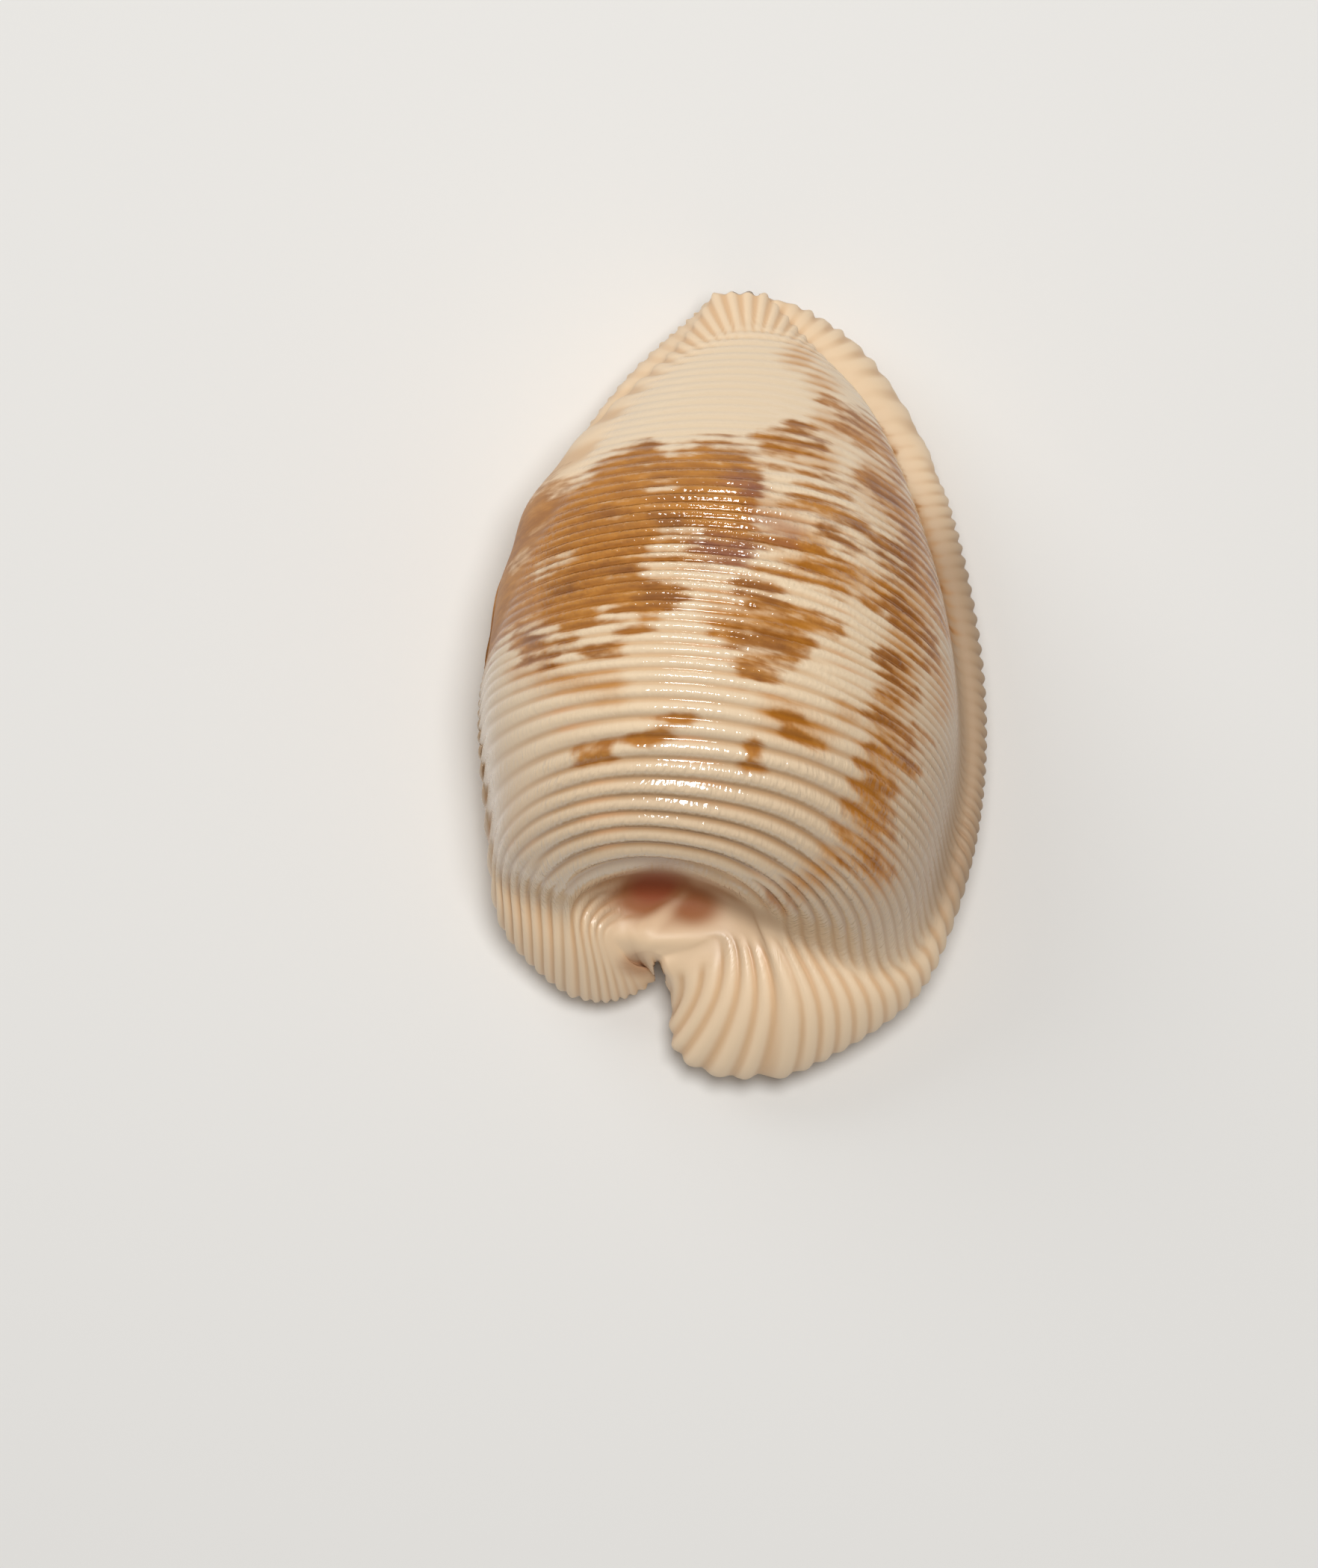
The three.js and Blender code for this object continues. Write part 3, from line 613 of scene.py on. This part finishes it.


# Where the callus and the painted shade of the steep sides begin and end, in rails or in mm of y
coats = {
    "leftRails": (1.0, 3.8),
    "leftRearY": (-4.5, -10.0),
    "leftFrontY": (6, 8),
    "rightRails": (10.9, 13.1),
    "underRails": (14.5, 15.5),
    "pitEdge": (0.8, 1.5),
    "sideShadeY": (-11, -7, 4.0, 8.5),
    "sideShadeRightRails": (8.6, 12.6, 14.5, 15.5),
    "sideShadeLeftRails": (-1, -0.4, 0.6, 4.5),
    "sideShadeLeftY": (-8.5, -5),
    "sideShadeLeftShare": 0.75,    # how strong it is on the left
}


# Where the cream callus lies: the margins, both lobes, the tip and the base
def callusTone(points, column):
    y = points[..., 1]
    atEnds = np.maximum(smooth(*coats["leftRearY"], y), smooth(*coats["leftFrontY"], y))
    left = (1 - smooth(*coats["leftRails"], column)) * atEnds
    right = smooth(*coats["rightRails"], column)
    under = smooth(*coats["underRails"], column)
    floor = 1 - smooth(*coats["pitEdge"], fromPit(points))
    return np.maximum.reduce([left, right, frontCallus(points, column), under, floor])


# The steep sides are painted a dull tan between the pale callus of the two ends: mostly painted shade where
# the light falls off, with a little of their own warm tan
def sideShadeTone(points, column):
    y = points[..., 1]
    right = band(column, coats["sideShadeRightRails"])
    left = band(fromLeftEdge(column), coats["sideShadeLeftRails"]) * smooth(*coats["sideShadeLeftY"], y)
    return band(y, coats["sideShadeY"]) * np.maximum(right, coats["sideShadeLeftShare"] * left)


def surfaceGrid():
    cage = controlCage()
    rows, columns = rowPlaces(), columnPlaces()
    rowMix = weightRows(rows, len(cage), curveWeights, False)
    rowSlope = weightRows(rows, len(cage), slopeWeights, False)
    columnMix = weightRows(columns, rail["total"], curveWeights, True)
    columnSlope = weightRows(columns, rail["total"], slopeWeights, True)
    points = np.einsum("ri,ijk,cj->rck", rowMix, cage, columnMix)
    alongRows = np.einsum("ri,ijk,cj->rck", rowSlope, cage, columnMix)
    alongRails = np.einsum("ri,ijk,cj->rck", rowMix, cage, columnSlope)
    normals = np.cross(alongRails, alongRows)
    normals /= np.linalg.norm(normals, axis=-1, keepdims=True)
    place, column = np.meshgrid(rows, columns, indexing="ij")
    height, count = ridgeHeights(place, column, points)
    depth = ridgeDepths(place, column, points)
    brown, dark, tan, violet = markDepths(points, column)
    layers = {
        "ridgeHeight": height, "ridgeCount": count, "ridgeDepth": depth,
        "alongRidge": alongRidges(points, column),
        "brownDepth": brown, "darkDepth": dark, "tanDepth": tan, "violetDepth": violet,
        # the pit's orange, and the painted shade of the canal
        "pitAndCanalShade": pitToneAndCanalShade(points, column),
        "callus": callusTone(points, column),
        # painted shade of the steep sides
        "margin": sideShadeTone(points, column),
    }
    onPit = (column > rail["leftGroove"]) & (column < rail["rightGroove"])
    raised = depth * (height - 0.5) + pit["foldHeight"] * pitFold(points) * onPit
    points = points + normals * raised[..., None]
    first, last = endRows(points[0], points[1]), endRows(points[-1], points[-2])
    points = np.concatenate([first[::-1], points, last])
    print("surface rows and columns", points.shape[:2])
    return points, {name: padded(layer) for name, layer in layers.items()}


# The rounded crests reach a little past the solid's size; the outer part is drawn in to that size
def drawnIn(values, limit, side):
    start = limit * shell["drawnFrom"]
    furthest = (values * side).max() * side
    share = (limit - shell["clearance"] * side - start) / (furthest - start)
    return np.where(values * side > start * side, start + (values - start) * min(share, 1), values)


# The rows past an end draw the section together, a little rounded, and close it
def endRows(end, inner):
    mirror = np.concatenate([[0], np.arange(len(end) - 1, 0, -1)])
    middle = (end + end[mirror]) / 2
    outward = end - inner
    outward = outward + outward[mirror]
    outward /= np.linalg.norm(outward, axis=-1, keepdims=True)
    shares = np.arange(1, shell["endRows"] + 1) / shell["endRows"]
    outward = outward * shell["endBulge"]
    return np.array([mix(end, middle, t) + outward * math.sqrt(t * (2 - t)) for t in shares])


def padded(layer):
    return np.pad(layer, ((shell["endRows"], shell["endRows"]), (0, 0)), mode="edge")


def meshFromGrid(points, layers):
    rowCount, columnCount = points.shape[:2]
    bm = bmesh.new()
    bmesh.ops.create_grid(bm, x_segments=columnCount, y_segments=rowCount - 1, size=1)
    attributes = {key: bm.verts.layers.float.new(key) for key in layers}
    for vert in bm.verts:
        row = round((vert.co.y + 1) / 2 * (rowCount - 1))
        column = round((vert.co.x + 1) / 2 * columnCount) % columnCount
        vert.co = Vector(points[row, column] * mm)
        for key, layer in attributes.items():
            vert[layer] = float(layers[key][row, column])
    bmesh.ops.remove_doubles(bm, verts=bm.verts, dist=1e-7)
    bmesh.ops.recalc_face_normals(bm, faces=bm.faces)
    for face in bm.faces:
        face.smooth = True
    return bm


def objectFromBmesh(name, bm):
    mesh = bpy.data.meshes.new(name)
    bm.to_mesh(mesh)
    bm.free()
    made = bpy.data.objects.new(name, mesh)
    bpy.context.scene.collection.objects.link(made)
    return made


hollow = {
    "centre": (-0.6, 1.4, 7.5),
    "radii": (7.6, 8.3, 5.9),
    "tilt": -14,             # degrees, lower in front
    "slitTop": 4.2,
    "slitBottom": -1,
    "gapShare": 0.8,         # the cut is this share of the gap between the lips
    "past": 1.6,             # how far it runs out past each end
}


# The room inside: an egg shape
def roomCutter():
    bm = bmesh.new()
    bmesh.ops.create_uvsphere(bm, u_segments=64, v_segments=32, radius=1)
    bmesh.ops.scale(bm, vec=Vector(hollow["radii"]) * mm, verts=bm.verts)
    bmesh.ops.rotate(bm, matrix=Matrix.Rotation(math.radians(hollow["tilt"]), 3, "X"), verts=bm.verts)
    bmesh.ops.translate(bm, vec=Vector(hollow["centre"]) * mm, verts=bm.verts)
    return objectFromBmesh("room_cutter", bm)


# The slit: an upright blade along the opening
def slitCutter():
    middles = np.array([guide["opening"][:2] for guide in guideRidges])
    halves = np.array([guide["opening"][2] * hollow["gapShare"] for guide in guideRidges])
    sides = np.array([acrossSlit(index) for index in range(len(guideRidges))]) * halves[:, None]

    def runOut(end, inner):
        away = end - inner
        return end + away / np.linalg.norm(away) * hollow["past"]

    middles = np.array([runOut(middles[0], middles[1]), *middles, runOut(middles[-1], middles[-2])])
    sides = np.array([sides[0], *sides, sides[-1]])
    outline = [*(middles + sides), *(middles - sides)[::-1]]
    bm = bmesh.new()
    corners = [bm.verts.new(Vector((x, y, hollow["slitBottom"])) * mm) for x, y in outline]
    floor = bm.faces.new(corners)
    grown = bmesh.ops.extrude_face_region(bm, geom=[floor])
    top = [item for item in grown["geom"] if isinstance(item, bmesh.types.BMVert)]
    bmesh.ops.translate(bm, vec=Vector((0, 0, hollow["slitTop"] - hollow["slitBottom"])) * mm, verts=top)
    bmesh.ops.recalc_face_normals(bm, faces=bm.faces)
    return objectFromBmesh("slit_cutter", bm)


def cutAway(piece, cutters):
    for cutter in cutters:
        cut = piece.modifiers.new("cut", "BOOLEAN")
        cut.operation = "DIFFERENCE"
        cut.object = cutter
        cut.solver = "MANIFOLD"
    graph = bpy.context.evaluated_depsgraph_get()
    finished = bpy.data.meshes.new_from_object(piece.evaluated_get(graph))
    finished.name = piece.name
    piece.modifiers.clear()
    piece.data = finished
    for cutter in cutters:
        bpy.data.objects.remove(cutter)


points, layers = surfaceGrid()
for axis in (0, 1):
    points[..., axis] = drawnIn(points[..., axis], cadBox[0][axis] / mm, -1)
    points[..., axis] = drawnIn(points[..., axis], cadBox[1][axis] / mm, 1)
points[..., 2] = drawnIn(points[..., 2], cadBox[1][2] / mm, 1)
points[..., 2] = np.maximum(points[..., 2], 0)    # worn flat where it stands
cowrie = objectFromBmesh("cowrie_shell", meshFromGrid(points, layers))
print("shell surface", len(cowrie.data.polygons))
cutAway(cowrie, [roomCutter(), slitCutter()])
print("hollowed", len(cowrie.data.polygons))

# Stage, lights and camera
studio = {
    "lens": 200,             # mm
    "frame": 36,             # height of the film frame, mm
    "frameHeight": 59.6,     # mm of the margin's plane that the picture's height takes in
    "marginHeight": 4,
    "aim": (-2.756, -3.793), # mm, the picture's middle
    "keyPlace": (14, 30, 260),
    "keySize": 80,
    "keyPower": 0.46,
    "fillPlace": (-170, 170, 200),
    "fillSize": 200,
    "fillPower": 0.22,
    "worldLight": 0.18,
    "lampAim": (0, 0, 5),
    "floor": "#E9E7E3",
    "floorHalf": 1.5,        # m
}


def srgb(code):
    values = [int(code[start:start + 2], 16) / 255 for start in (1, 3, 5)]
    return [value / 12.92 if value <= 0.04045 else ((value + 0.055) / 1.055) ** 2.4 for value in values]


def addNode(tree, kind, settings=(), links=()):
    made = tree.nodes.new(kind)
    for name, value in dict(settings).items():
        setattr(made, name, value)
    for name, source in dict(links).items():
        tree.links.new(source, made.inputs[name])
    return made


def newMaterial(name):
    material = bpy.data.materials.new(name)
    material.use_nodes = True
    material.node_tree.nodes.clear()
    return material, material.node_tree


def floorMaterial():
    material, tree = newMaterial("pale paper floor, matt")
    shader = addNode(tree, "ShaderNodeBsdfPrincipled")
    shader.inputs["Base Color"].default_value = (*srgb(studio["floor"]), 1)
    shader.inputs["Roughness"].default_value = 0.9
    addNode(tree, "ShaderNodeOutputMaterial", links={"Surface": shader.outputs[0]})
    return material


def addStage():
    bm = bmesh.new()
    bmesh.ops.create_grid(bm, x_segments=1, y_segments=1, size=studio["floorHalf"])
    floor = objectFromBmesh("floor", bm)
    floor.data.materials.append(floorMaterial())


def addLight(name, place, size, power, inGloss=True):
    light = bpy.data.lights.new(name, "AREA")
    light.shape = "DISK"
    light.size = size * mm
    light.energy = power
    lamp = bpy.data.objects.new(name, light)
    lamp.location = Vector(place) * mm
    beam = Vector(studio["lampAim"]) * mm - lamp.location
    lamp.rotation_euler = beam.to_track_quat("-Z", "Y").to_euler()
    lamp.visible_glossy = inGloss
    bpy.context.scene.collection.objects.link(lamp)


def addCamera():
    camera = bpy.data.cameras.new("camera")
    camera.lens = studio["lens"]
    camera.sensor_width = studio["frame"]
    camera.clip_start = 0.01
    distance = studio["frameHeight"] * studio["lens"] / studio["frame"]
    eye = bpy.data.objects.new("camera", camera)
    eye.location = Vector((*studio["aim"], studio["marginHeight"] + distance)) * mm
    bpy.context.scene.collection.objects.link(eye)
    bpy.context.scene.camera = eye


def addWorld():
    world = bpy.data.worlds.new("studio")
    world.use_nodes = True
    background = world.node_tree.nodes["Background"]
    background.inputs["Color"].default_value = (1, 1, 1, 1)
    background.inputs["Strength"].default_value = studio["worldLight"]
    bpy.context.scene.world = world
    bpy.context.scene.view_settings.view_transform = "Standard"


enamel = {
    "crest": "#EDD4B2",
    "crestFront": "#EDD6B7",
    "valley": "#DAB890",
    "valleyFront": "#E6CDAA",
    # the rear crests and valleys are painted darker, as shade on the slope that falls away from the light
    "crestRearShade": "#E2C7A5",
    "valleyRearShade": "#BA9268",
    "blush": "#DAA474",           # orange-tan clouds in the valleys
    "callusCrest": "#F8DBB6",
    "callusGroove": "#E5BE92",
    "brownCrest": "#C07C22",
    "brownValley": "#A26005",
    "dark": "#743A06",
    # violet tone, partly the enamel's own and partly a painted sheen
    "violet": "#8F5F66",
    # painted shade of the steep sides, a dull tan
    "margin": "#A08163",
    # the pit's orange, also used for the painted shade in the canal
    "pitWideAndCanalShade": "#A86D40",
    "pitCore": "#A2522B",
    "edgeSoft": 0.24,             # mm over which a mark fades out
    "streakStray": 0.28,          # mm by which streaks move a mark's edge
    "fineStray": 0.1,
    "ridgeStray": 0.16,           # mm by which it steps from ridge to ridge
    "valleyMore": 0.26,           # mm by which brown reaches further in a valley
    "streakScale": (0.55, 0.9),   # texture scales, by mm along a ridge and by ridges
    "fineScale": (1.8, 2.2),
    "cloudScale": (0.3, 0.25),
    "beadScale": (5.0, 1.6),
    "brownShare": 0.92,           # how much of each colour shows where it is full
    "darkShare": 0.85,
    "palerShare": 0.6,
    "violetShare": 0.34,
    "sideShadeShare": 0.75,
    "frontSpan": (0.004, 0.010),  # where the paler front begins, m of y
    "rearShadeSpan": (0.001, -0.006),
    "beadFrontSpan": (0.0015, 0.005),
    "beadRearSpan": (-0.002, -0.0035),
    "beadLeast": 0.9,             # strength of the beads between those two
    "roughness": 0.1,
    "callusMatt": 0.42,           # roughness added
    "pitMatt": 0.3,
    "marginMatt": 0.15,
    "ior": 1.6,
    "beadHeight": 0.05,           # mm
}


# Old enamel: a cream body, brown laid down under a clear gloss, in streaks along the ridges
def enamelMaterial():
    material, tree = newMaterial("cowrie enamel, glossy shell built up in layers, brown under the gloss")

    def attribute(name):
        return addNode(tree, "ShaderNodeAttribute", {"attribute_name": name}).outputs["Fac"]

    def calculate(operation, first, second):
        made = addNode(tree, "ShaderNodeMath", {"operation": operation})
        for socket, value in zip(made.inputs, (first, second)):
            if isinstance(value, (int, float)):
                socket.default_value = value
            else:
                tree.links.new(value, socket)
        return made.outputs["Value"]

    def times(first, second):
        return calculate("MULTIPLY", first, second)

    def plus(first, second):
        return calculate("ADD", first, second)

    def minus(first, second):
        return calculate("SUBTRACT", first, second)

    def ramp(value, low, high):
        made = addNode(tree, "ShaderNodeMapRange", {"interpolation_type": "SMOOTHSTEP"}, {"Value": value})
        made.inputs["From Min"].default_value = low
        made.inputs["From Max"].default_value = high
        return made.outputs["Result"]

    def blend(factor, first, second):
        made = addNode(tree, "ShaderNodeMix", {"data_type": "RGBA"}, {"Factor": factor})
        for name, value in (("A", first), ("B", second)):
            if isinstance(value, str):
                made.inputs[name].default_value = (*srgb(enamel[value]), 1)
            else:
                tree.links.new(value, made.inputs[name])
        return made.outputs["Result"]

    # valleys are darker than crests, partly their own browner tone and partly painted shade, so where the
    # ridges are low valleys and crests come near one tone
    def shaded(value, relief):
        return plus(times(minus(value, 0.75), relief), 0.75)

    # texture space that runs with the ridges: x in mm along a ridge, y in ridges
    def ridgeNoise(scales, detail, shift):
        alongScale, countScale = enamel[scales]
        place = addNode(tree, "ShaderNodeCombineXYZ", links={
            "X": times(along, alongScale), "Y": times(count, countScale)})
        place.inputs["Z"].default_value = shift
        made = addNode(tree, "ShaderNodeTexNoise", links={"Vector": place.outputs["Vector"]})
        made.inputs["Scale"].default_value = 1
        made.inputs["Detail"].default_value = detail
        return made.outputs["Fac"]

    along, count, ridge = attribute("alongRidge"), attribute("ridgeCount"), attribute("ridgeHeight")
    streak = ridgeNoise("streakScale", 3, 0)
    fine = ridgeNoise("fineScale", 2, 5)
    cloud = ridgeNoise("cloudScale", 2, 7)
    whole = calculate("FLOOR", plus(count, 0.5), 0)
    chance = addNode(tree, "ShaderNodeTexWhiteNoise", {"noise_dimensions": "1D"}, {"W": whole})
    stray = plus(times(minus(streak, 0.5), enamel["streakStray"] * 3),
                 times(minus(chance.outputs["Value"], 0.5), enamel["ridgeStray"]))
    stray = plus(stray, times(minus(fine, 0.5), enamel["fineStray"] * 3))
    stray = plus(stray, times(minus(0.5, ridge), enamel["valleyMore"]))

    # how full a mark is; it fades out over so many widths of the soft edge outside and inside
    def mark(layer, outside, inside):
        return ramp(plus(attribute(layer), stray), -enamel["edgeSoft"] * outside, enamel["edgeSoft"] * inside)

    brown = mark("brownDepth", 1, 1)
    dark = mark("darkDepth", 2, 3)

    # cream body: paler and smoother in front, and painted darker behind as shade on the slope that falls away
    # from the light, the valleys most; orange-tan clouds lie in the valleys
    place = addNode(tree, "ShaderNodeTexCoord").outputs["Object"]
    y = addNode(tree, "ShaderNodeSeparateXYZ", links={"Vector": place}).outputs["Y"]
    front = ramp(y, *enamel["frontSpan"])
    rear = ramp(y, *enamel["rearShadeSpan"])
    crestColour = blend(rear, blend(front, "crest", "crestFront"), "crestRearShade")
    valleyColour = blend(rear, blend(front, "valley", "valleyFront"), "valleyRearShade")
    blush = times(ramp(cloud, 0.5, 0.72), minus(0.8, front))
    valleyColour = blend(calculate("MAXIMUM", blush, 0), valleyColour, "blush")
    relief = calculate("MINIMUM", calculate("DIVIDE", attribute("ridgeDepth"), ridges["middle"]), 1)
    body = blend(shaded(ramp(ridge, 0.0, 0.75), relief), valleyColour, crestColour)
    callus = blend(shaded(ramp(ridge, 0.0, 0.8), relief), "callusGroove", "callusCrest")
    body = blend(attribute("callus"), body, callus)
    # painted shade: the steep sides are darkened towards a dull tan, with a little of their own warm tan
    body = blend(times(attribute("margin"), enamel["sideShadeShare"]), body, "margin")

    # brown fields, darker in the valleys, partly their own tone and partly painted shade, and in some
    # streaks, and the dark marks
    brownTone = plus(times(ridge, 0.6), 0.2)
    brownTone = minus(brownTone, times(minus(streak, 0.5), 3))
    brownTone = minus(brownTone, times(minus(fine, 0.5), 1.5))
    brownColour = blend(ramp(brownTone, -0.2, 1.2), "brownValley", "brownCrest")
    paler = ramp(brownTone, 1.0, 1.9)
    brownColour = blend(times(paler, enamel["palerShare"]), brownColour, "crest")
    brownColour = blend(times(dark, enamel["darkShare"]), brownColour, "dark")
    tan = mark("tanDepth", 3, 2)
    body = blend(times(tan, minus(0.9, times(ridge, 0.45))), body, "brownCrest")
    body = blend(times(brown, enamel["brownShare"]), body, brownColour)
    # violet tone on the dark marks, partly the enamel's own and partly a painted sheen
    body = blend(times(mark("violetDepth", 2, 2), enamel["violetShare"]), body, "violet")
    # the orange pit, and painted shade in the canal
    inPitAndCanalShade = attribute("pitAndCanalShade")
    body = blend(ramp(inPitAndCanalShade, 0.0, 0.6), body, "pitWideAndCanalShade")
    body = blend(ramp(inPitAndCanalShade, 0.45, 1.05), body, "pitCore")

    # less glossy on the callus, on the margins and in the pit
    matt = plus(times(inPitAndCanalShade, enamel["pitMatt"]), times(attribute("callus"), enamel["callusMatt"]))
    matt = plus(matt, times(attribute("margin"), enamel["marginMatt"]))

    # rows of very small beads on the crests, that break the gloss into dots
    bead = ridgeNoise("beadScale", 1, 3)
    beadMore = plus(ramp(y, *enamel["beadFrontSpan"]), enamel["beadLeast"])
    beadMore = plus(ramp(y, *enamel["beadRearSpan"]), beadMore)
    beadMore = times(beadMore, minus(1, attribute("callus")))
    beadHeight = times(times(bead, ridge), times(relief, beadMore))
    bump = addNode(tree, "ShaderNodeBump", links={"Height": beadHeight})
    bump.inputs["Distance"].default_value = enamel["beadHeight"] * mm
    bump.inputs["Strength"].default_value = 1
    shader = addNode(tree, "ShaderNodeBsdfPrincipled", links={
        "Base Color": body, "Normal": bump.outputs["Normal"],
        "Roughness": plus(matt, enamel["roughness"])})
    shader.inputs["IOR"].default_value = enamel["ior"]
    addNode(tree, "ShaderNodeOutputMaterial", links={"Surface": shader.outputs[0]})
    return material


cowrie.data.materials.clear()
cowrie.data.materials.append(enamelMaterial())
addStage()
addLight("key", studio["keyPlace"], studio["keySize"], studio["keyPower"])
addLight("fill", studio["fillPlace"], studio["fillSize"], studio["fillPower"], inGloss=False)
addWorld()
addCamera()

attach(cowrie, "root")
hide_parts("shell")
